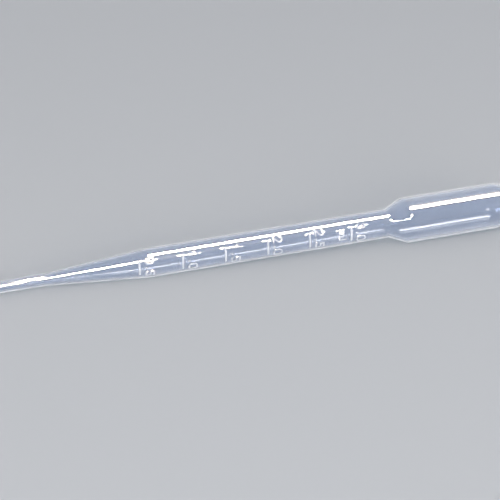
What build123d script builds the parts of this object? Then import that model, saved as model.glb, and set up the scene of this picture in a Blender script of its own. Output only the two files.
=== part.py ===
from build123d import *
import math
import os

# A blown dropper pipette: one hollow piece of soft polyethylene, open at the tip and closed at the bulb.
# It is drawn along +X with the tip's mouth at X = 0, then laid down as it rests on a bench.
# Lengths are in millimetres and angles in degrees, and a radius is the outside's unless it says bore.

# Outline, from the tip to the closed end
TIP_RADIUS = 1.6
TIP_LENGTH = 21.9
CONE_LENGTH = 28.9
STEM_RADIUS = 4.03
STEM_LENGTH = 71.3
SHOULDER_LENGTH = 5.2
BULB_RADIUS = 6.4
BULB_LENGTH = 29.2
CLOSING_LENGTH = 4.0
END_RADIUS = 3.8

# Wall, which is thickest at the tip and stretched thin where the mould is wide
TIP_WALL = 0.7
STEM_WALL = 0.45
BULB_WALL = 0.38
END_WALL = 0.6

# Roundings of the outline's corners; the tip is cut square and the cone meets the stem at a faint crease
CONE_FOOT_ROUND = 20.0
SHOULDER_ROUND = 2.5
CLOSING_ROUND = BULB_RADIUS
END_ROUND = 2.2

# Raised graduations, which face -Y
FIRST_MARK = 47.8
MARK_STEP = 12.4
MARK_LABELS = ["0.5", "1.0", "1.5", "2.0", "2.5", "3.0"]
MARK_WIDTH = 0.6
MARK_ARC = 63.0
MARK_HEIGHT = 0.2
MARK_ROOT = 0.3
MARKS_TURN = -3.0

# Two small flats under the crease and the bulb's rim, on which it rests without rolling
REST_FLAT = 0.08

# Raised figures, which read with the tip held down
STROKE = 0.42
FIGURE_HEIGHT = 2.8
FIGURE_WIDTH = 1.85
FIGURE_PITCH = 25.5
FIGURE_GAP = 1.5
DOT_SIZE = 0.5
UNIT_HEIGHT = 2.3
UNIT_M_WIDTH = 2.0
UNIT_M_HEIGHT = 1.65
UNIT_GAP = 0.6

# Places along the pipette
CONE_START = TIP_LENGTH
STEM_START = CONE_START + CONE_LENGTH
SHOULDER_START = STEM_START + STEM_LENGTH
BULB_START = SHOULDER_START + SHOULDER_LENGTH
CLOSING_START = BULB_START + BULB_LENGTH
TOTAL_LENGTH = CLOSING_START + CLOSING_LENGTH


def turned(tip, stem, bulb, end, closed_end, rounds):
    """A solid turned about X from the radii of its stretches, with one rounding for each corner."""
    line = FilletPolyline(
        (0, 0),
        (0, tip),
        (CONE_START, tip),
        (STEM_START, stem),
        (SHOULDER_START, stem),
        (BULB_START, bulb),
        (CLOSING_START, bulb),
        (closed_end, end),
        (closed_end, 0),
        radius=rounds,
    )
    return revolve(make_face(line + Line((closed_end, 0), (0, 0))), Axis.X, 360)


def outside(grown=0.0):
    """The outer form, or the same form with every radius grown."""
    return turned(
        TIP_RADIUS + grown,
        STEM_RADIUS + grown,
        BULB_RADIUS + grown,
        END_RADIUS + grown,
        TOTAL_LENGTH + grown,
        [0, CONE_FOOT_ROUND, 0, SHOULDER_ROUND, SHOULDER_ROUND, CLOSING_ROUND, END_ROUND],
    )


def bore():
    """The air space. Its corners are left sharp, but for the one before the closed end."""
    return turned(
        TIP_RADIUS - TIP_WALL,
        STEM_RADIUS - STEM_WALL,
        BULB_RADIUS - BULB_WALL,
        END_RADIUS - BULB_WALL,
        TOTAL_LENGTH - END_WALL,
        [0, 0, 0, 0, 0, CLOSING_ROUND - BULB_WALL, 0],
    )


# Figures stand on a baseline through the origin, and are given by the middle of their strokes
HALF = (FIGURE_WIDTH - STROKE) / 2
TALL = FIGURE_HEIGHT - STROKE


def bar(start, end):
    """One straight stroke, which runs half its width past both points so that corners close."""
    run = Vector(*end) - Vector(*start)
    middle = (Vector(*start) + Vector(*end)) * 0.5
    angle = math.degrees(math.atan2(run.Y, run.X))
    return Pos(middle.X, middle.Y) * Rot(0, 0, angle) * Rectangle(run.length + STROKE, STROKE)


def bow(centre, radius, start, sweep):
    """One curved stroke, square at both ends."""
    return trace(CenterArc(centre, radius, start, sweep), STROKE)


def on_circle(centre, radius, angle):
    turn = math.radians(angle)
    return (centre[0] + radius * math.cos(turn), centre[1] + radius * math.sin(turn))


def zero():
    ring = SlotOverall(FIGURE_HEIGHT, FIGURE_WIDTH, rotation=90)
    ring -= SlotOverall(FIGURE_HEIGHT - 2 * STROKE, FIGURE_WIDTH - 2 * STROKE, rotation=90)
    return Pos(0, TALL / 2) * ring


def one():
    stem_x = HALF / 4
    return bar((stem_x, 0), (stem_x, TALL)) + bar((-HALF * 0.6, TALL * 0.74), (0, TALL * 0.95))


def two():
    centre = (0, TALL - HALF)
    heel = (STROKE / 4 - HALF, STROKE / 4)
    slant = bar(on_circle(centre, HALF, -35), heel)
    return bow(centre, HALF, 170, -205) + slant + bar((-HALF, 0), (HALF, 0))


def three():
    upper = TALL * 0.235
    lower = TALL / 2 - upper
    return bow((0, TALL - upper), upper, 160, -250) + bow((0, lower), lower, 90, -250)


def five():
    centre = (0, HALF)
    corner = (-HALF * 0.75, TALL)
    bowl = bow(centre, HALF, 130, -280)
    return bowl + bar(on_circle(centre, HALF, 130), corner) + bar(corner, (HALF * 0.85, TALL))


def dot():
    return Pos(0, (DOT_SIZE - STROKE) / 2) * Rectangle(DOT_SIZE, DOT_SIZE)


def letter_m():
    arch = (UNIT_M_WIDTH - STROKE) / 4
    spring = UNIT_M_HEIGHT - STROKE - arch
    letter = bar((-2 * arch, 0), (-2 * arch, spring + arch))
    for side in (-arch, arch):
        letter += bow((side, spring), arch, 180, -180) + bar((side + arch, 0), (side + arch, spring))
    return letter


def letter_l():
    return bar((0, 0), (0, UNIT_HEIGHT - STROKE))


FIGURES = {"0": zero, "1": one, "2": two, "3": three, "5": five, ".": dot}


def radius_at(along):
    """The outside's radius on the cone or the stem."""
    risen = (along - CONE_START) / CONE_LENGTH
    return TIP_RADIUS + (STEM_RADIUS - TIP_RADIUS) * min(risen, 1.0)


def rib(along):
    """One graduation line: a short band around the front, rooted in the wall."""
    root = radius_at(along) - MARK_ROOT
    section = Pos(along, root + STEM_RADIUS / 2) * Rectangle(MARK_WIDTH, STEM_RADIUS)
    band = revolve(section, Axis.X, MARK_ARC)
    return Rot(180 + MARKS_TURN - MARK_ARC / 2, 0, 0) * band


def raised(figure, along, turn):
    """A flat figure as a prism out of the wall, turned about X by an angle down from -Y."""
    angle = math.radians(MARKS_TURN + turn)
    out = Vector(0, -math.cos(angle), -math.sin(angle))
    rightward = Vector(0, math.sin(angle), -math.cos(angle))
    foot = Vector(along, 0, 0) + out * (STEM_RADIUS - MARK_ROOT)
    face_plane = Plane(origin=foot, x_dir=rightward, z_dir=out)
    return extrude(face_plane * Pos(0, STROKE / 2) * figure, STEM_RADIUS)


def graduations():
    """Every line, its figures on the bulb's side of it, and the unit on the tip's side of the last."""
    pieces = []
    for index, label in enumerate(MARK_LABELS):
        along = FIRST_MARK + index * MARK_STEP
        pieces.append(rib(along))
        for place, character in enumerate(label):
            turn = (place - 1) * FIGURE_PITCH
            pieces.append(raised(FIGURES[character](), along + FIGURE_GAP, turn))
    unit_foot = FIRST_MARK + (len(MARK_LABELS) - 1) * MARK_STEP - FIGURE_GAP - UNIT_HEIGHT
    unit_width = UNIT_M_WIDTH + UNIT_GAP + STROKE
    m_middle = (UNIT_M_WIDTH - unit_width) / 2
    l_middle = (unit_width - STROKE) / 2
    pieces.append(raised(letter_m(), unit_foot, math.degrees(m_middle / STEM_RADIUS)))
    pieces.append(raised(letter_l(), unit_foot, math.degrees(l_middle / STEM_RADIUS)))
    return pieces


def rest_tilt():
    """How far the axis leans when the crease before the stem and the bulb's front rim both touch a bench."""
    shoulder_slope = math.atan2(BULB_RADIUS - STEM_RADIUS, SHOULDER_LENGTH)
    rim_run = BULB_START + SHOULDER_ROUND * math.tan(shoulder_slope / 2) - STEM_START
    rim_rise = BULB_RADIUS - SHOULDER_ROUND - STEM_RADIUS
    between = math.hypot(rim_run, rim_rise)
    return math.degrees(math.atan2(rim_rise, rim_run) + math.asin(SHOULDER_ROUND / between))


def lying(solid):
    """Laid on the bench at Z = 0 on its two flats, with the middle of its box over the origin."""
    leaning = Rot(0, -rest_tilt(), 0) * solid
    box = leaning.bounding_box()
    foot = box.min.Z + REST_FLAT
    bench = Box(2 * TOTAL_LENGTH, TOTAL_LENGTH, TOTAL_LENGTH, align=(Align.CENTER, Align.CENTER, Align.MAX))
    rested = leaning - Pos(box.center().X, 0, foot) * bench
    return Pos(-box.center().X, -box.center().Y, -foot) * rested


skin = outside(MARK_HEIGHT)
marks = [piece & skin for piece in graduations()]
pipette = lying(outside() + marks - bore())
pipette.label = "pipette"

os.makedirs("parts", exist_ok=True)
export_step(pipette, "parts/pipette.step")
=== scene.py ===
"""A blown polyethylene dropper pipette, lying on a pale bench under soft studio light.

The pipette is one hollow piece. Its outline is turned about its own axis, with the graduations
raised out of the wall, and is then laid down on the two small flats that it rests on. Lengths are
in metres.
"""

import math
from typing import NamedTuple

import bpy
import numpy as np
from bpy.props import (
    FloatProperty,
    FloatVectorProperty,
    IntProperty,
    PointerProperty,
    StringProperty,
)
from mathutils import Matrix, Vector


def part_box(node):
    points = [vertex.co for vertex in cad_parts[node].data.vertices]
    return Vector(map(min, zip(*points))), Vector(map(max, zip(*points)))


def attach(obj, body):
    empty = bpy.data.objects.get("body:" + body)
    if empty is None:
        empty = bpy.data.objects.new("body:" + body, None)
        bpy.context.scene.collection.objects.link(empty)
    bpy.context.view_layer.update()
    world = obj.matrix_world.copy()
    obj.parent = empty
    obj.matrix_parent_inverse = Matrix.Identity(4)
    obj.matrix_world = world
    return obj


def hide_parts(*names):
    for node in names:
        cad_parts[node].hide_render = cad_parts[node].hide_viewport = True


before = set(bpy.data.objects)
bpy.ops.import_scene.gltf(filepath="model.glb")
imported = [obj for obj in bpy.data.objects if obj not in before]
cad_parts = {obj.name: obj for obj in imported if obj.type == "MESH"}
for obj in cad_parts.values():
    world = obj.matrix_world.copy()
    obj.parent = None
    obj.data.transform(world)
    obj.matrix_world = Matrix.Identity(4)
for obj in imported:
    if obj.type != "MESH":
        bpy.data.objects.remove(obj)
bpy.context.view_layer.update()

bl_info = {
    "name": "Dropper pipette",
    "version": (1, 0, 0),
    "blender": (4, 5, 0),
    "location": "View3D > Sidebar > Pipette",
    "description": "Builds a blown polyethylene dropper pipette and the bench that it lies on",
    "category": "Object",
}


# -------------------------------------------------------------------------------------------------
# Kinds of setting


def length(name, description, default):
    return FloatProperty(
        name=name, description=description, default=default, min=0.0, unit="LENGTH", precision=5
    )


def shift(name, description, default):
    return FloatProperty(
        name=name, description=description, default=default, unit="LENGTH", precision=5
    )


def turn(name, description, degrees):
    return FloatProperty(
        name=name, description=description, default=math.radians(degrees), subtype="ANGLE"
    )


def share(name, description, default):
    return FloatProperty(name=name, description=description, default=default, min=0.0, max=1.0)


def colour(name, description, default):
    return FloatVectorProperty(
        name=name,
        description=description,
        default=default,
        subtype="COLOR",
        size=3,
        min=0.0,
        max=1.0,
    )


# -------------------------------------------------------------------------------------------------
# What a user may change


class PipetteSizes(bpy.types.PropertyGroup):
    """The outline, from the tip to the closed end. A radius is the outside's."""

    tip_radius: length("Tip radius", "Outside of the tip tube", 0.0016)
    tip_length: length("Tip length", "The plain tube before the cone", 0.0219)
    cone_length: length("Cone length", "The cone between the tip tube and the stem", 0.0289)
    stem_radius: length("Stem radius", "Outside of the graduated stem", 0.00403)
    stem_length: length("Stem length", "The graduated stem", 0.0713)
    shoulder_length: length("Shoulder length", "The cone between the stem and the bulb", 0.0052)
    bulb_radius: length("Bulb radius", "Outside of the bulb", 0.0064)
    bulb_length: length("Bulb length", "The straight part of the bulb", 0.0292)
    closing_length: length("Closing length", "The rounded cone that closes the bulb", 0.004)
    end_radius: length("End radius", "The closed end, before its edge is rounded", 0.0038)
    tip_wall: length("Tip wall", "Thickness of the wall in the tip", 0.0007)
    stem_wall: length("Stem wall", "Thickness of the wall in the stem", 0.00045)
    bulb_wall: length("Bulb wall", "Thickness of the wall in the bulb", 0.00038)
    end_wall: length("End wall", "Thickness of the wall at the closed end", 0.0006)
    mouth_round: length("Mouth rounding", "Rounding of the two edges of the cut tip", 0.00013)
    cone_foot_round: length("Cone foot rounding", "Where the tube opens into the cone", 0.02)
    cone_head_round: length("Cone head rounding", "Where the cone meets the stem", 0.012)
    shoulder_round: length("Shoulder rounding", "At both ends of the shoulder", 0.0025)
    end_round: length("End rounding", "Around the closed end", 0.0022)
    rest_flat: length("Rest flat", "Depth of the two small flats that it rests on", 0.00008)


class GraduationSizes(bpy.types.PropertyGroup):
    """The raised lines and figures on the stem."""

    labels: StringProperty(
        name="Labels",
        description="Volumes beside the lines, from the tip on",
        default="0.5 1.0 1.5 2.0 2.5 3.0",
    )
    first_mark: length("First line", "From the mouth of the tip to the first line", 0.0478)
    mark_step: length("Step", "From one line to the next", 0.0124)
    mark_width: length("Line width", "Width of a line along the stem", 0.0006)
    mark_arc: turn("Line arc", "How far a line runs around the stem", 63.0)
    mark_height: length("Height", "How far lines and figures stand out of the wall", 0.0002)
    marks_turn: turn("Turn", "Where they face, as an angle down from the front", -3.0)
    stroke: length("Stroke", "Width of a figure's stroke", 0.00042)
    figure_height: length("Figure height", "Height of a figure", 0.0028)
    figure_width: length("Figure width", "Width of a figure", 0.00185)
    figure_turn: turn("Figure turn", "Angle around the stem from one figure to the next", 25.5)
    figure_gap: length("Figure gap", "From a line to the foot of its figures", 0.0015)
    dot_size: length("Dot size", "Width of the decimal point", 0.0005)
    unit_height: length("Unit height", "Height of the unit's letter l", 0.0023)
    unit_m_width: length("Unit m width", "Width of the unit's letter m", 0.002)
    unit_m_height: length("Unit m height", "Height of the unit's letter m", 0.00165)
    unit_gap: length("Unit gap", "Between the unit's two letters", 0.0006)


class MeshFineness(bpy.types.PropertyGroup):
    """How finely the wall is divided, and its small irregularities."""

    line_pitch: length("Line pitch", "Between rows of the mesh across a raised line", 0.00005)
    figure_pitch: length("Figure pitch", "Between rows and columns within a figure", 0.000072)
    plain_pitch: length("Plain pitch", "Between rows along the plain outside", 0.0016)
    bore_pitch: length("Bore pitch", "Between rows along the inner face", 0.0032)
    plain_columns: IntProperty(
        name="Plain columns",
        description="Columns around the whole turn, away from the figures",
        default=72,
        min=12,
    )
    foot_spread: length("Foot spread", "How far a raised line's foot reaches past it", 0.00004)
    parting_height: length("Parting height", "Height of the ridge where the mould closed", 0.00003)
    parting_width: length("Parting width", "Width of the ridge where the mould closed", 0.00016)
    mark_floor: length("Mark floor", "Height above which a face is a graduation's", 0.00006)
    wall_drift: length("Wall drift", "How much the blown wall's thickness drifts", 0.0000072)


class PlasticFinish(bpy.types.PropertyGroup):
    """Natural low-density polyethylene: clear but a little milky, with a smooth moulded skin."""

    milk: colour("Milk", "Colour of the haze in the wall", (0.59, 0.655, 0.785))
    clearness: share("Clearness", "Share of light that passes one face of the wall", 0.93)
    smooth: share("Smooth", "Roughness where the wall is smoothest", 0.01)
    dull: share("Dull", "Roughness where the wall is dullest", 0.045)
    # The graduations' whiter, milkier and less clear plastic is partly the haze of their thicker
    # plastic and partly painted highlight, standing in for the glints on their flanks.
    mark_haze_and_glint: colour("Mark milk", "Colour of the haze in the graduations", (0.95, 0.97, 1.0))
    mark_clearness: share("Mark clearness", "Share of light that passes one face of them", 0.62)
    mark_smooth: share("Mark smooth", "Roughness where a graduation is smoothest", 0.07)
    mark_dull: share("Mark dull", "Roughness where a graduation is dullest", 0.14)
    ior: FloatProperty(name="Index", description="Index of refraction", default=1.51, min=1.0)
    skin: share("Skin", "Weight of the glossy outer skin", 1.0)
    skin_rough: share("Skin roughness", "Roughness of the glossy outer skin", 0.05)
    bloom: share("Bloom", "Weight of the pale bloom at a soft plastic's edges", 1.0)
    bloom_rough: share("Bloom roughness", "How far the bloom spreads from the edges", 0.48)
    relief: share("Relief", "Strength of the skin's fine relief", 0.25)
    relief_height: length("Relief height", "Height of the skin's fine relief", 0.00002)
    shade: colour("Shade", "Light that each face lets through to the shadow", (0.82, 0.845, 0.87))


class StudioSettings(bpy.types.PropertyGroup):
    """The bench, the light around and the camera."""

    floor_colour: colour("Floor", "Colour of the bench", (0.53, 0.54, 0.56))
    floor_size: length("Floor size", "Width of the round bench", 2.0)
    floor_rough: share("Floor roughness", "Roughness of the bench", 0.6)
    far_colour: colour("Far", "Colour seen beyond the bench", (0.62, 0.63, 0.65))
    fill_colour: colour("Fill", "Light that comes from all around", (0.42, 0.43, 0.45))
    azimuth: turn("Azimuth", "Camera's turn around the pipette", -20.62)
    elevation: turn("Elevation", "Camera's height above the bench", 21.12)
    camera_distance: length("Camera distance", "From the camera to what it looks at", 0.7963)
    lens: FloatProperty(name="Lens", description="Focal length in millimetres", default=208.0)
    aim_along: length("Aim", "Where the camera looks, along the axis from the mouth", 0.0812)
    aim_right: shift("Aim right", "Shift of the aim to the right", -0.00005)
    aim_up: shift("Aim up", "Shift of the aim upwards", -0.00122)


# -------------------------------------------------------------------------------------------------
# Lamps

PLAIN = (1.0, 1.0, 1.0)
WARM = (1.0, 0.8, 0.58)


class Lamp(NamedTuple):
    """A rectangular lamp that faces the middle of the bench, in metres and watts.

    It leans from overhead to the front, in degrees, and may stand off along the pipette.
    """

    name: str
    lean: float
    distance: float
    along: float
    long: float
    wide: float
    power: float
    colour: tuple = PLAIN


# These light the scene and aren't seen in its gloss
SOFT_LAMPS = (
    Lamp("key_front", 45.0, 2.6, -0.3, 1.6, 1.1, 40.0),
    Lamp("fill_low", 78.0, 2.6, -0.3, 1.6, 0.55, 55.0),
)
# These are seen only in the gloss: a streak on the stem and bulb, one on the cone, and small glints
GLINT_LAMPS = (
    Lamp("strip_above", 12.0, 1.4, 0.52, 0.56, 0.25, 280.0, WARM),
    Lamp("strip_cone", 50.6, 1.4, 0.09, 0.33, 0.28, 70.0, WARM),
    Lamp("glint_shoulder", 66.0, 1.4, -0.62, 0.16, 0.12, 3.0),
    Lamp("glint_left", 30.0, 1.4, -1.3, 0.7, 0.5, 80.0),
    Lamp("glint_right", 50.6, 1.4, 1.5, 0.6, 0.3, 60.0),
)


# -------------------------------------------------------------------------------------------------
# The outline and how it lies

# Roundings inside the bore, as shares of the roundings outside
BORE_FOOT_ROUND = 0.5
BORE_SHOULDER_ROUND = 0.9
BORE_END_ROUND = 0.8


def places(sizes):
    """Where each stretch of the pipette starts, from the mouth, and where the last one ends."""
    cone = sizes.tip_length
    stem = cone + sizes.cone_length
    shoulder = stem + sizes.stem_length
    bulb = shoulder + sizes.shoulder_length
    closing = bulb + sizes.bulb_length
    return cone, stem, shoulder, bulb, closing, closing + sizes.closing_length


def rest_tilt(sizes):
    """How far the axis leans when the stem's start and the bulb's front rim touch the bench."""
    _, stem, _, bulb, _, _ = places(sizes)
    slope = math.atan2(sizes.bulb_radius - sizes.stem_radius, sizes.shoulder_length)
    run = bulb + sizes.shoulder_round * math.tan(slope / 2) - stem
    rise = sizes.bulb_radius - sizes.shoulder_round - sizes.stem_radius
    return math.atan2(rise, run) + math.asin(sizes.shoulder_round / math.hypot(run, rise))


def resting_axis(sizes):
    """The middle of the mouth, the direction towards the bulb, and the one that is up from it."""
    lean = rest_tilt(sizes)
    axis = Vector((math.cos(lean), 0.0, math.sin(lean)))
    up = Vector((-math.sin(lean), 0.0, math.cos(lean)))
    stem = places(sizes)[1]
    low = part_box("pipette")[0]
    height = sizes.stem_radius * math.cos(lean) - stem * math.sin(lean) - sizes.rest_flat
    return Vector((low.x + sizes.tip_radius * math.sin(lean), 0.0, height)), axis, up


def outline(sizes):
    """Corners of the wall's section as (along, radius, rounding), in two lists.

    The outside runs from the closed end to the mouth, and the bore from the mouth back to the end.
    """
    cone, stem, shoulder, bulb, closing, end = places(sizes)
    tip_bore = sizes.tip_radius - sizes.tip_wall
    stem_bore = sizes.stem_radius - sizes.stem_wall
    bulb_bore = sizes.bulb_radius - sizes.bulb_wall
    end_bore = sizes.end_radius - sizes.bulb_wall
    outside = [
        (end, 0.0, 0.0),
        (end, sizes.end_radius, sizes.end_round),
        (closing, sizes.bulb_radius, sizes.bulb_radius),
        (bulb, sizes.bulb_radius, sizes.shoulder_round),
        (shoulder, sizes.stem_radius, sizes.shoulder_round),
        (stem, sizes.stem_radius, sizes.cone_head_round),
        (cone, sizes.tip_radius, sizes.cone_foot_round),
        (0.0, sizes.tip_radius, sizes.mouth_round),
    ]
    bore = [
        (0.0, tip_bore, sizes.mouth_round),
        (cone, tip_bore, sizes.cone_foot_round * BORE_FOOT_ROUND),
        (stem, stem_bore, sizes.cone_head_round),
        (shoulder, stem_bore, sizes.shoulder_round),
        (bulb, bulb_bore, sizes.shoulder_round * BORE_SHOULDER_ROUND),
        (closing, bulb_bore, bulb_bore),
        (end - sizes.end_wall, end_bore, sizes.end_round * BORE_END_ROUND),
        (end - sizes.end_wall, 0.0, 0.0),
    ]
    return outside, bore


# -------------------------------------------------------------------------------------------------
# How the wall is divided

# A rounded corner has a row for each of these degrees of bend, and at least this many rows
CORNER_DEGREES = 4.5
CORNER_ROWS = 4
# Places at which a straight run asks how close its rows should be
RUN_SAMPLES = 4001
# The fine mesh reaches past a raised edge by these many spreads of its foot
MARGIN_ALONG = 2
MARGIN_AROUND = 3
# Columns on each side of the middle of the parting ridge
PARTING_COLUMNS = 3
# Keeps a gap that is a whole number of steps wide from getting one more
STEP_SLACK = 1e-6


def marks_along(marks):
    """Where each line stands, from the mouth."""
    lines = len(marks.labels.split())
    return [marks.first_mark + index * marks.mark_step for index in range(lines)]


def unit_foot(marks):
    """Where the unit's letters start, on the tip's side of the last line."""
    return marks_along(marks)[-1] - marks.figure_gap - marks.unit_height


def pitch_at(along, marks, mesh):
    """The distance between rows at places along the outside."""
    pitch = np.full(len(along), mesh.plain_pitch)
    margin = MARGIN_ALONG * mesh.foot_spread
    feet = [line + marks.figure_gap for line in marks_along(marks)]
    spans = [(foot, foot + marks.figure_height) for foot in feet]
    spans.append((unit_foot(marks), unit_foot(marks) + marks.unit_height))
    for low, high in spans:
        pitch[(along > low - margin) & (along < high + margin)] = mesh.figure_pitch
    for line in marks_along(marks):
        pitch[np.abs(along - line) < marks.mark_width / 2 + margin] = mesh.line_pitch
    return pitch


def straight(start, end, pitch):
    """Points from start to end, without the end, as close as pitch asks for at each place."""
    fine = np.linspace(0.0, 1.0, RUN_SAMPLES)
    points = start + fine[:, None] * (end - start)
    steps = np.hypot(*(points[1:] - points[:-1]).T) / pitch(0.5 * (points[1:, 0] + points[:-1, 0]))
    count = np.concatenate([[0.0], np.cumsum(steps)])
    wanted = np.linspace(0.0, count[-1], max(2, math.ceil(count[-1]) + 1))[:-1]
    return start + np.interp(wanted, count, fine)[:, None] * (end - start)


def rounded(before, here, after, radius):
    """A corner's rounding: where it starts, the points along it, and where it ends."""
    arriving = (here - before) / np.linalg.norm(here - before)
    leaving = (after - here) / np.linalg.norm(after - here)
    across = arriving[0] * leaving[1] - arriving[1] * leaving[0]
    bend = math.atan2(across, float(arriving @ leaving))
    reach = radius * math.tan(abs(bend) / 2)
    start = here - arriving * reach
    centre = start + math.copysign(radius, bend) * np.array((-arriving[1], arriving[0]))
    rows = max(CORNER_ROWS, math.ceil(abs(math.degrees(bend)) / CORNER_DEGREES))
    angles = np.linspace(0.0, bend, rows + 1)[:-1, None]
    spoke = start - centre
    quarter_on = np.array((-spoke[1], spoke[0]))
    points = centre + np.cos(angles) * spoke + np.sin(angles) * quarter_on
    return start, points, here + leaving * reach


def section(sizes, marks, mesh):
    """The wall's section as points (along, radius), and how many of them are outside."""

    def outer_pitch(along):
        return pitch_at(along, marks, mesh)

    def bore_pitch(along):
        return np.full(len(along), mesh.bore_pitch)

    outer, bore = outline(sizes)
    corners = np.array(outer + bore)
    ends, roundings = corners[:, :2], corners[:, 2]
    points, last, outside = [], ends[0], 0
    for index in range(1, len(ends) - 1):
        start, corner, end = rounded(*ends[index - 1 : index + 2], roundings[index])
        points.append(straight(last, start, outer_pitch if index < len(outer) else bore_pitch))
        points.append(corner)
        last = end
        if index == len(outer) - 1:
            outside = sum(len(part) for part in points)
    points.append(straight(last, ends[-1], bore_pitch))
    points.append(ends[-1:])
    return np.vstack(points), outside


def columns(sizes, marks, mesh):
    """The angles around the axis, from the back (+Y) over the top, at which the wall is divided."""
    middle = math.pi + marks.marks_turn
    half = marks.figure_turn + math.asin(marks.figure_width / 2 / sizes.stem_radius)
    half = max(half, marks.mark_arc / 2) + MARGIN_AROUND * mesh.foot_spread / sizes.stem_radius
    steps = math.ceil(2 * half * sizes.stem_radius / mesh.figure_pitch)
    front = np.linspace(middle - half, middle + half, steps + 1)
    step = mesh.parting_width / PARTING_COLUMNS / sizes.stem_radius
    partings = [
        middle + side * math.pi / 2 + place * step
        for side in (-1, 1)
        for place in range(-PARTING_COLUMNS, PARTING_COLUMNS + 1)
    ]
    fixed = np.sort(np.concatenate([front, partings]))
    angles, widest = [], 2 * math.pi / mesh.plain_columns
    for here, following in zip(fixed, np.append(fixed[1:], fixed[0] + 2 * math.pi)):
        pieces = max(1, math.ceil((following - here) / widest - STEP_SLACK))
        angles.extend(here + (following - here) * piece / pieces for piece in range(pieces))
    return np.array(angles)


# -------------------------------------------------------------------------------------------------
# The raised graduations

# A distance from any stroke that raises nothing
FAR = 1.0
# The least cosine of the angle from a figure's middle at which the figure can be
FIGURE_FACING = 0.5


def on_circle(centre, radius, angle):
    turned = math.radians(angle)
    return (centre[0] + radius * math.cos(turned), centre[1] + radius * math.sin(turned))


def to_bar(x, y, start, end):
    """Distance from points to a straight stroke."""
    run = (end[0] - start[0], end[1] - start[1])
    part = ((x - start[0]) * run[0] + (y - start[1]) * run[1]) / (run[0] ** 2 + run[1] ** 2)
    part = np.clip(part, 0.0, 1.0)
    return np.hypot(x - start[0] - part * run[0], y - start[1] - part * run[1])


def to_bow(x, y, centre, radius, start, sweep):
    """Distance from points to a curved stroke that sweeps on from a start angle, in degrees."""
    dx, dy = x - centre[0], y - centre[1]
    along = (np.degrees(np.arctan2(dy, dx)) - start) * math.copysign(1.0, sweep) % 360.0
    ends = [on_circle(centre, radius, start), on_circle(centre, radius, start + sweep)]
    to_ends = np.minimum(*(np.hypot(x - end[0], y - end[1]) for end in ends))
    return np.where(along <= abs(sweep), np.abs(np.hypot(dx, dy) - radius), to_ends)


class Figures:
    """Each form is a figure or letter, and returns the distance from points to its strokes.

    Its foot is at the origin. half is half a figure's width and tall is its height, both between
    the middles of its strokes. The numbers in a form are shares of those two, or degrees.
    """

    def __init__(self, marks):
        self.half = (marks.figure_width - marks.stroke) / 2
        self.tall = marks.figure_height - marks.stroke
        self.marks = marks

    def zero(self, x, y):
        low, high = self.half, self.tall - self.half
        sides = [to_bar(x, y, (side, low), (side, high)) for side in (-self.half, self.half)]
        top = to_bow(x, y, (0, high), self.half, 0, 180)
        bottom = to_bow(x, y, (0, low), self.half, 180, 180)
        return np.minimum.reduce([*sides, top, bottom])

    def one(self, x, y):
        stem = self.half / 4
        flag = to_bar(x, y, (-self.half * 0.6, self.tall * 0.74), (0, self.tall * 0.95))
        return np.minimum(to_bar(x, y, (stem, 0), (stem, self.tall)), flag)

    def two(self, x, y):
        centre = (0, self.tall - self.half)
        heel = (self.marks.stroke / 4 - self.half, self.marks.stroke / 4)
        head = to_bow(x, y, centre, self.half, 170, -205)
        slant = to_bar(x, y, on_circle(centre, self.half, -35), heel)
        foot = to_bar(x, y, (-self.half, 0), (self.half, 0))
        return np.minimum.reduce([head, slant, foot])

    def three(self, x, y):
        upper = self.tall * 0.235
        lower = self.tall / 2 - upper
        top = to_bow(x, y, (0, self.tall - upper), upper, 160, -250)
        return np.minimum(top, to_bow(x, y, (0, lower), lower, 90, -250))

    def five(self, x, y):
        centre = (0, self.half)
        corner = (-self.half * 0.75, self.tall)
        bowl = to_bow(x, y, centre, self.half, 130, -280)
        back = to_bar(x, y, on_circle(centre, self.half, 130), corner)
        roof = to_bar(x, y, corner, (self.half * 0.85, self.tall))
        return np.minimum.reduce([bowl, back, roof])

    def dot(self, x, y):
        rise = (self.marks.dot_size - self.marks.stroke) / 2
        return np.hypot(x, y - rise) - rise

    def letter_m(self, x, y):
        arch = (self.marks.unit_m_width - self.marks.stroke) / 4
        spring = self.marks.unit_m_height - self.marks.stroke - arch
        strokes = [to_bar(x, y, (-2 * arch, 0), (-2 * arch, spring + arch))]
        for side in (-arch, arch):
            strokes.append(to_bow(x, y, (side, spring), arch, 180, -180))
            strokes.append(to_bar(x, y, (side + arch, 0), (side + arch, spring)))
        return np.minimum.reduce(strokes)

    def letter_l(self, x, y):
        return to_bar(x, y, (0, 0), (0, self.marks.unit_height - self.marks.stroke))

    def named(self, character):
        forms = {
            "0": self.zero,
            "1": self.one,
            "2": self.two,
            "3": self.three,
            "5": self.five,
            ".": self.dot,
        }
        return forms[character]


def bead(distance, half_width, height):
    """The height of a rounded bead at a distance from its middle."""
    radius = (half_width**2 + height**2) / (2 * height)
    arch = np.sqrt(np.maximum(radius**2 - distance**2, 0.0)) - radius + height
    return np.maximum(arch, 0.0)


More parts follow.
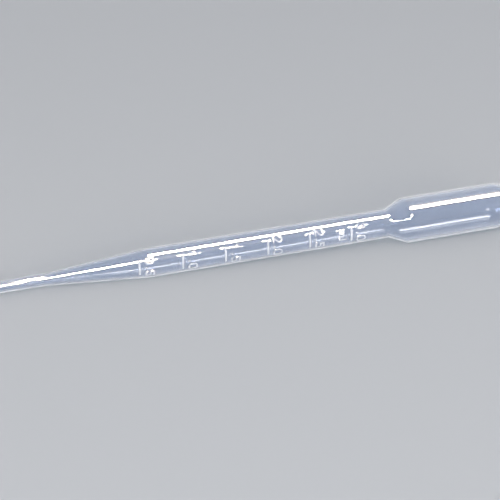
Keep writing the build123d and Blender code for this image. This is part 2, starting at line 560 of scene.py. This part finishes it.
def raised(along, angle, sizes, marks, mesh):
    """How far the graduations stand out of the wall at places (along, angle)."""
    height = np.zeros(np.broadcast(along, angle).shape)
    middle = math.pi + marks.marks_turn
    figures = Figures(marks)

    def add(distance, half_width):
        stands = bead(distance, half_width + mesh.foot_spread, marks.mark_height)
        np.maximum(height, stands, out=height)

    def add_figure(form, foot, turned):
        away = angle - middle - turned
        distance = form(sizes.stem_radius * np.sin(away), along - foot - marks.stroke / 2)
        add(np.where(np.cos(away) > FIGURE_FACING, distance, FAR), marks.stroke / 2)

    half_arc = marks.mark_arc / 2 * sizes.stem_radius - marks.mark_width / 2
    around = sizes.stem_radius * (angle - middle)
    for line, label in zip(marks_along(marks), marks.labels.split()):
        add(to_bar(along, around, (line, -half_arc), (line, half_arc)), marks.mark_width / 2)
        for place, character in enumerate(label):
            turned = (place - 1) * marks.figure_turn
            add_figure(figures.named(character), line + marks.figure_gap, turned)
    width = marks.unit_m_width + marks.unit_gap + marks.stroke
    m_middle = (marks.unit_m_width - width) / 2
    l_middle = (width - marks.stroke) / 2
    add_figure(figures.letter_m, unit_foot(marks), m_middle / sizes.stem_radius)
    add_figure(figures.letter_l, unit_foot(marks), l_middle / sizes.stem_radius)
    return height


# -------------------------------------------------------------------------------------------------
# The blown wall

# The wall's drift is a swell, whose lobes wind around the wall, and a finer ripple. Each length is
# for one radian, and each start is in radians.
SWELL_LENGTH = 0.0071
SWELL_START = 1.3
SWELL_LOBES = 2
LOBE_LENGTH = 0.031
LOBE_START = 0.7
RIPPLE_LENGTH = 0.0033
RIPPLE_START = 0.4
RIPPLE_LOBES = 3
RIPPLE_SHARE = 0.6


def parting(angle, radius, marks, mesh):
    """The fine ridge that the mould's two halves leave, a quarter turn from the graduations."""
    ridge = np.zeros(np.broadcast(angle, radius).shape)
    for side in (-1, 1):
        seam = math.pi + marks.marks_turn + side * math.pi / 2
        away = np.abs((angle - seam + math.pi) % (2 * math.pi) - math.pi) * radius
        ridge += mesh.parting_height * np.exp(-((away / (mesh.parting_width / 2)) ** 2))
    return ridge


def drift(along, angle, mesh):
    """The slow wander of a blown wall's inner face."""
    lobes = np.cos(SWELL_LOBES * angle + LOBE_START + along / LOBE_LENGTH)
    swell = np.sin(along / SWELL_LENGTH + SWELL_START) * lobes
    ripple = np.sin(along / RIPPLE_LENGTH + RIPPLE_LOBES * angle + RIPPLE_START)
    return mesh.wall_drift * (swell + RIPPLE_SHARE * ripple)


def closed_faces(rows, count):
    """Faces of a tube of rings of points, whose ends are closed by one more point each."""
    row = np.arange(rows - 1)[:, None] * count
    column = np.arange(count)[None, :]
    beside = (column + 1) % count
    corners = [row + column, row + count + column, row + count + beside, row + beside]
    faces = np.stack(corners, axis=-1).reshape(-1, 4).tolist()
    first_end, last_end, last_row = rows * count, rows * count + 1, (rows - 1) * count
    for here in range(count):
        following = (here + 1) % count
        faces.append([first_end, here, following])
        faces.append([last_end, last_row + following, last_row + here])
    return faces


def blown_wall(sizes, marks, mesh):
    """Points and faces of the closed wall, and each face's finish: 0 for the wall, 1 for a mark's
    haze and painted highlight.

    There is one ring of points for each point of the section, but the first and last are single.
    """
    points, outside = section(sizes, marks, mesh)
    angles = columns(sizes, marks, mesh)
    angle = angles[None, :]
    along = points[:, 0][:, None]
    radius = np.repeat(points[:, 1][:, None], len(angles), axis=1)
    outer, inner = slice(1, outside), slice(outside, len(points) - 1)
    heights = raised(along[outer], angle, sizes, marks, mesh)
    radius[outer] += parting(angle, radius[outer], marks, mesh) + heights
    ease = np.clip(along[inner] / sizes.tip_length - 1.0, 0.0, 1.0)
    radius[inner] += ease * drift(along[inner], angle, mesh)

    mouth, axis, up = resting_axis(sizes)
    rings = np.array(mouth) + along[:, :, None] * np.array(axis)
    rings = rings + (radius * np.cos(angle))[:, :, None] * np.array((0.0, 1.0, 0.0))
    rings = rings + (radius * np.sin(angle))[:, :, None] * np.array(up)
    rings[outer, :, 2] = np.maximum(rings[outer, :, 2], 0.0)
    vertices = np.vstack([rings[1:-1].reshape(-1, 3), rings[0, 0], rings[-1, 0]])

    rows, count = len(points) - 2, len(angles)
    stands = np.zeros((rows, count), dtype=bool)
    stands[: outside - 1] = heights > mesh.mark_floor
    # Faces that stand out take the marks' finish: the haze of their thicker plastic, whitened
    # further as painted highlight for their glints.
    haze_and_glint_faces = stands[:-1] & stands[1:]
    haze_and_glint_faces &= np.roll(haze_and_glint_faces, -1, axis=1)
    finishes = haze_and_glint_faces.reshape(-1).astype(int).tolist() + [0] * (2 * count)
    return vertices, closed_faces(rows, count), finishes


def add_mesh(name, vertices, faces):
    data = bpy.data.meshes.new(name)
    data.from_pydata([tuple(vertex) for vertex in vertices], [], faces)
    data.validate()
    data.shade_smooth()
    obj = bpy.data.objects.new(name, data)
    bpy.context.scene.collection.objects.link(obj)
    return obj


# -------------------------------------------------------------------------------------------------
# Materials

# Draw lines are noise stretched along the pipette, and specks are finer noise that isn't
DRAW_SCALE = 900.0
DRAW_STRETCH = (0.04, 1.0, 1.0)
DRAW_DETAIL = 3.0
DRAW_ROUGHNESS = 0.55
SPECK_SCALE = 1400.0
SPECK_DETAIL = 2.0
SPECK_SHARE = 0.35
# The height of both together that is smoothest and the one that is dullest
SKIN_HEIGHTS = (0.45, 0.95)
# The speck noise that clouds the colour most and least, and how far it darkens it
CLOUD_SPECKS = (0.3, 0.75)
CLOUD_SHADES = (0.94, 1.0)


def socket(group, name, kind, default=None, out=False):
    side = "OUTPUT" if out else "INPUT"
    made = group.interface.new_socket(name=name, in_out=side, socket_type=kind)
    if default is not None:
        made.default_value = default


def moulded_skin():
    """A node group for the skin of a blown piece: faint draw lines along it, and cloudy specks."""
    group = bpy.data.node_groups.new("moulded_skin", "ShaderNodeTree")
    socket(group, "Colour", "NodeSocketColor")
    socket(group, "Smooth", "NodeSocketFloat")
    socket(group, "Dull", "NodeSocketFloat")
    socket(group, "Draw scale", "NodeSocketFloat", DRAW_SCALE)
    socket(group, "Speck scale", "NodeSocketFloat", SPECK_SCALE)
    socket(group, "Colour", "NodeSocketColor", out=True)
    socket(group, "Roughness", "NodeSocketFloat", out=True)
    socket(group, "Height", "NodeSocketFloat", out=True)
    nodes, links = group.nodes, group.links
    given = nodes.new("NodeGroupInput")
    result = nodes.new("NodeGroupOutput")
    place = nodes.new("ShaderNodeTexCoord")

    stretch = nodes.new("ShaderNodeMapping")
    stretch.inputs["Scale"].default_value = DRAW_STRETCH
    lines = nodes.new("ShaderNodeTexNoise")
    lines.inputs["Detail"].default_value = DRAW_DETAIL
    lines.inputs["Roughness"].default_value = DRAW_ROUGHNESS
    links.new(place.outputs["Object"], stretch.inputs["Vector"])
    links.new(stretch.outputs["Vector"], lines.inputs["Vector"])
    links.new(given.outputs["Draw scale"], lines.inputs["Scale"])
    specks = nodes.new("ShaderNodeTexNoise")
    specks.inputs["Detail"].default_value = SPECK_DETAIL
    links.new(place.outputs["Object"], specks.inputs["Vector"])
    links.new(given.outputs["Speck scale"], specks.inputs["Scale"])

    both = nodes.new("ShaderNodeMath")
    both.operation = "MULTIPLY_ADD"
    both.inputs[1].default_value = SPECK_SHARE
    links.new(specks.outputs["Fac"], both.inputs[0])
    links.new(lines.outputs["Fac"], both.inputs[2])
    rough = nodes.new("ShaderNodeMapRange")
    rough.inputs["From Min"].default_value, rough.inputs["From Max"].default_value = SKIN_HEIGHTS
    links.new(both.outputs["Value"], rough.inputs["Value"])
    links.new(given.outputs["Smooth"], rough.inputs["To Min"])
    links.new(given.outputs["Dull"], rough.inputs["To Max"])

    cloud = nodes.new("ShaderNodeMapRange")
    cloud.inputs["From Min"].default_value, cloud.inputs["From Max"].default_value = CLOUD_SPECKS
    cloud.inputs["To Min"].default_value, cloud.inputs["To Max"].default_value = CLOUD_SHADES
    shade = nodes.new("ShaderNodeVectorMath")
    shade.operation = "SCALE"
    links.new(specks.outputs["Fac"], cloud.inputs["Value"])
    links.new(given.outputs["Colour"], shade.inputs[0])
    links.new(cloud.outputs["Result"], shade.inputs["Scale"])

    links.new(shade.outputs["Vector"], result.inputs["Colour"])
    links.new(rough.outputs["Result"], result.inputs["Roughness"])
    links.new(both.outputs["Value"], result.inputs["Height"])
    return group


def polyethylene(name, skin_group, finish, milk, clearness, smooth, dull):
    """Natural polyethylene. Lamps shine through it, so its shadow stays light."""
    material = bpy.data.materials.new(name)
    material.use_nodes = True
    nodes, links = material.node_tree.nodes, material.node_tree.links
    nodes.clear()
    output = nodes.new("ShaderNodeOutputMaterial")
    plastic = nodes.new("ShaderNodeBsdfPrincipled")
    plastic.inputs["Metallic"].default_value = 0.0
    plastic.inputs["Transmission Weight"].default_value = clearness
    plastic.inputs["IOR"].default_value = finish.ior
    plastic.inputs["Sheen Weight"].default_value = finish.bloom
    plastic.inputs["Sheen Roughness"].default_value = finish.bloom_rough
    plastic.inputs["Coat Weight"].default_value = finish.skin
    plastic.inputs["Coat Roughness"].default_value = finish.skin_rough
    plastic.inputs["Coat IOR"].default_value = finish.ior
    skin = nodes.new("ShaderNodeGroup")
    skin.node_tree = skin_group
    skin.inputs["Colour"].default_value = (*milk, 1.0)
    skin.inputs["Smooth"].default_value = smooth
    skin.inputs["Dull"].default_value = dull
    relief = nodes.new("ShaderNodeBump")
    relief.inputs["Strength"].default_value = finish.relief
    relief.inputs["Distance"].default_value = finish.relief_height
    links.new(skin.outputs["Colour"], plastic.inputs["Base Color"])
    links.new(skin.outputs["Roughness"], plastic.inputs["Roughness"])
    links.new(skin.outputs["Height"], relief.inputs["Height"])
    links.new(relief.outputs["Normal"], plastic.inputs["Normal"])

    through = nodes.new("ShaderNodeBsdfTransparent")
    through.inputs["Color"].default_value = (*finish.shade, 1.0)
    path = nodes.new("ShaderNodeLightPath")
    surface = plastic.outputs["BSDF"]
    for passing in ("Is Shadow Ray", "Is Diffuse Ray"):
        mix = nodes.new("ShaderNodeMixShader")
        links.new(path.outputs[passing], mix.inputs["Fac"])
        links.new(surface, mix.inputs[1])
        links.new(through.outputs["BSDF"], mix.inputs[2])
        surface = mix.outputs["Shader"]
    links.new(surface, output.inputs["Surface"])
    return material


def bench_paint(studio):
    material = bpy.data.materials.new("bench_matt")
    material.use_nodes = True
    paint = material.node_tree.nodes["Principled BSDF"]
    paint.inputs["Base Color"].default_value = (*studio.floor_colour, 1.0)
    paint.inputs["Roughness"].default_value = studio.floor_rough
    paint.inputs["Specular IOR Level"].default_value = 0.0
    return material


# -------------------------------------------------------------------------------------------------
# The studio

# The bench is a many-sided disc, so that its rim looks level from all round. It lies a hair below
# the pipette's two flats.
BENCH_SIDES = 96
BENCH_HEIGHT = -0.00002
# The camera's sensor in millimetres, and the nearest and farthest that it sees in metres
SENSOR_WIDTH = 36.0
CLIP_START = 0.01
CLIP_END = 20.0


def frame_of(right, back, place):
    """The matrix of something that looks along minus back, with right to its right."""
    up = back.cross(right)
    return Matrix.Translation(place) @ Matrix((right, up, back)).transposed().to_4x4()


def direction(turned, rise):
    """The direction at a turn from the front (-Y) and a height, and the level one to its right."""
    level = math.cos(rise)
    towards = Vector((math.sin(turned) * level, -math.cos(turned) * level, math.sin(rise)))
    return towards, Vector((math.cos(turned), math.sin(turned), 0.0))


def add_bench(studio):
    reach = studio.floor_size / 2
    turns = [2 * math.pi * step / BENCH_SIDES for step in range(BENCH_SIDES)]
    rim = [(reach * math.cos(turned), reach * math.sin(turned), BENCH_HEIGHT) for turned in turns]
    bench = add_mesh("bench", rim, [list(range(BENCH_SIDES))])
    bench.data.materials.append(bench_paint(studio))


def add_lamp(scene, each):
    light = bpy.data.lights.new(each.name, "AREA")
    light.shape = "RECTANGLE"
    light.size, light.size_y = each.long, each.wide
    light.energy = each.power
    light.color = each.colour
    lamp = bpy.data.objects.new(each.name, light)
    lean = math.radians(each.lean)
    axis = Vector((1.0, 0.0, 0.0))
    towards = Vector((0.0, -math.sin(lean), math.cos(lean)))
    lamp.matrix_world = frame_of(axis, towards, towards * each.distance + axis * each.along)
    scene.collection.objects.link(lamp)
    return lamp


def add_surroundings(scene, studio):
    """Light from all around, and the colour that the camera, gloss and clear plastic show there."""
    world = bpy.data.worlds.new("studio")
    scene.world = world
    world.use_nodes = True
    nodes, links = world.node_tree.nodes, world.node_tree.links
    nodes.clear()
    output = nodes.new("ShaderNodeOutputWorld")
    fill = nodes.new("ShaderNodeBackground")
    fill.inputs["Color"].default_value = (*studio.fill_colour, 1.0)
    far = nodes.new("ShaderNodeBackground")
    far.inputs["Color"].default_value = (*studio.far_colour, 1.0)
    path = nodes.new("ShaderNodeLightPath")
    seen = path.outputs["Is Camera Ray"]
    for kind in ("Is Glossy Ray", "Is Transmission Ray"):
        either = nodes.new("ShaderNodeMath")
        either.operation = "MAXIMUM"
        links.new(seen, either.inputs[0])
        links.new(path.outputs[kind], either.inputs[1])
        seen = either.outputs["Value"]
    blend = nodes.new("ShaderNodeMixShader")
    links.new(seen, blend.inputs["Fac"])
    links.new(fill.outputs["Background"], blend.inputs[1])
    links.new(far.outputs["Background"], blend.inputs[2])
    links.new(blend.outputs["Shader"], output.inputs["Surface"])


def add_camera(scene, studio, sizes):
    back, right = direction(studio.azimuth, studio.elevation)
    up = back.cross(right)
    mouth, axis, _ = resting_axis(sizes)
    aim = mouth + axis * studio.aim_along + right * studio.aim_right + up * studio.aim_up
    data = bpy.data.cameras.new("camera")
    data.sensor_width = SENSOR_WIDTH
    data.lens = studio.lens
    data.clip_start, data.clip_end = CLIP_START, CLIP_END
    camera = bpy.data.objects.new("camera", data)
    camera.matrix_world = frame_of(right, back, aim + back * studio.camera_distance)
    scene.collection.objects.link(camera)
    scene.camera = camera


# -------------------------------------------------------------------------------------------------
# Operators and panel


class PIPETTE_OT_blown_wall(bpy.types.Operator):
    """Build the pipette's hollow wall with its raised graduations"""

    bl_idname = "pipette.blown_wall"
    bl_label = "Pipette"

    def execute(self, context):
        scene = context.scene
        finish = scene.pipette_finish
        wall_finish = (finish.milk, finish.clearness, finish.smooth, finish.dull)
        # The marks' finish is whiter than the wall's: partly haze, partly painted highlight for
        # their glints.
        mark_haze_and_glint_finish = (
            finish.mark_haze_and_glint,
            finish.mark_clearness,
            finish.mark_smooth,
            finish.mark_dull,
        )
        vertices, faces, finishes = blown_wall(
            scene.pipette_sizes, scene.pipette_marks, scene.pipette_mesh
        )
        wall = add_mesh("pipette_wall", vertices, faces)
        skin = moulded_skin()
        wall.data.materials.append(polyethylene("polyethylene_wall", skin, finish, *wall_finish))
        wall.data.materials.append(polyethylene("polyethylene_marks_haze_and_glint", skin, finish, *mark_haze_and_glint_finish))
        wall.data.polygons.foreach_set("material_index", finishes)
        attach(wall, "root")
        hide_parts("pipette")
        return {"FINISHED"}


class PIPETTE_OT_studio(bpy.types.Operator):
    """Build the bench, the lamps, the light around and the camera"""

    bl_idname = "pipette.studio"
    bl_label = "Studio"

    def execute(self, context):
        scene = context.scene
        studio = scene.pipette_studio
        add_bench(studio)
        for each in SOFT_LAMPS:
            lamp = add_lamp(scene, each)
            lamp.visible_glossy = False
            lamp.visible_transmission = False
        for each in GLINT_LAMPS:
            add_lamp(scene, each).visible_diffuse = False
        add_surroundings(scene, studio)
        add_camera(scene, studio, scene.pipette_sizes)
        scene.view_settings.view_transform = "Standard"
        return {"FINISHED"}


class PIPETTE_PT_panel(bpy.types.Panel):
    """The pipette's pieces and their settings"""

    bl_idname = "PIPETTE_PT_panel"
    bl_label = "Dropper pipette"
    bl_space_type = "VIEW_3D"
    bl_region_type = "UI"
    bl_category = "Pipette"

    def draw(self, context):
        for operator in OPERATORS:
            self.layout.operator(operator.bl_idname)
        for name, (title, group) in GROUPS.items():
            box = self.layout.box()
            box.label(text=title)
            for setting in group.__annotations__:
                box.prop(getattr(context.scene, name), setting)


OPERATORS = (PIPETTE_OT_blown_wall, PIPETTE_OT_studio)
GROUPS = {
    "pipette_sizes": ("Outline and wall", PipetteSizes),
    "pipette_marks": ("Graduations", GraduationSizes),
    "pipette_mesh": ("Mesh", MeshFineness),
    "pipette_finish": ("Plastic", PlasticFinish),
    "pipette_studio": ("Studio", StudioSettings),
}
CLASSES = (*(group for _, group in GROUPS.values()), *OPERATORS, PIPETTE_PT_panel)


def register():
    for each in CLASSES:
        bpy.utils.register_class(each)
    for name, (_, group) in GROUPS.items():
        setattr(bpy.types.Scene, name, PointerProperty(type=group))


def unregister():
    for name in GROUPS:
        delattr(bpy.types.Scene, name)
    for each in reversed(CLASSES):
        bpy.utils.unregister_class(each)


def main():
    register()
    bpy.ops.pipette.blown_wall()
    bpy.ops.pipette.studio()


if __name__ == "__main__":
    main()
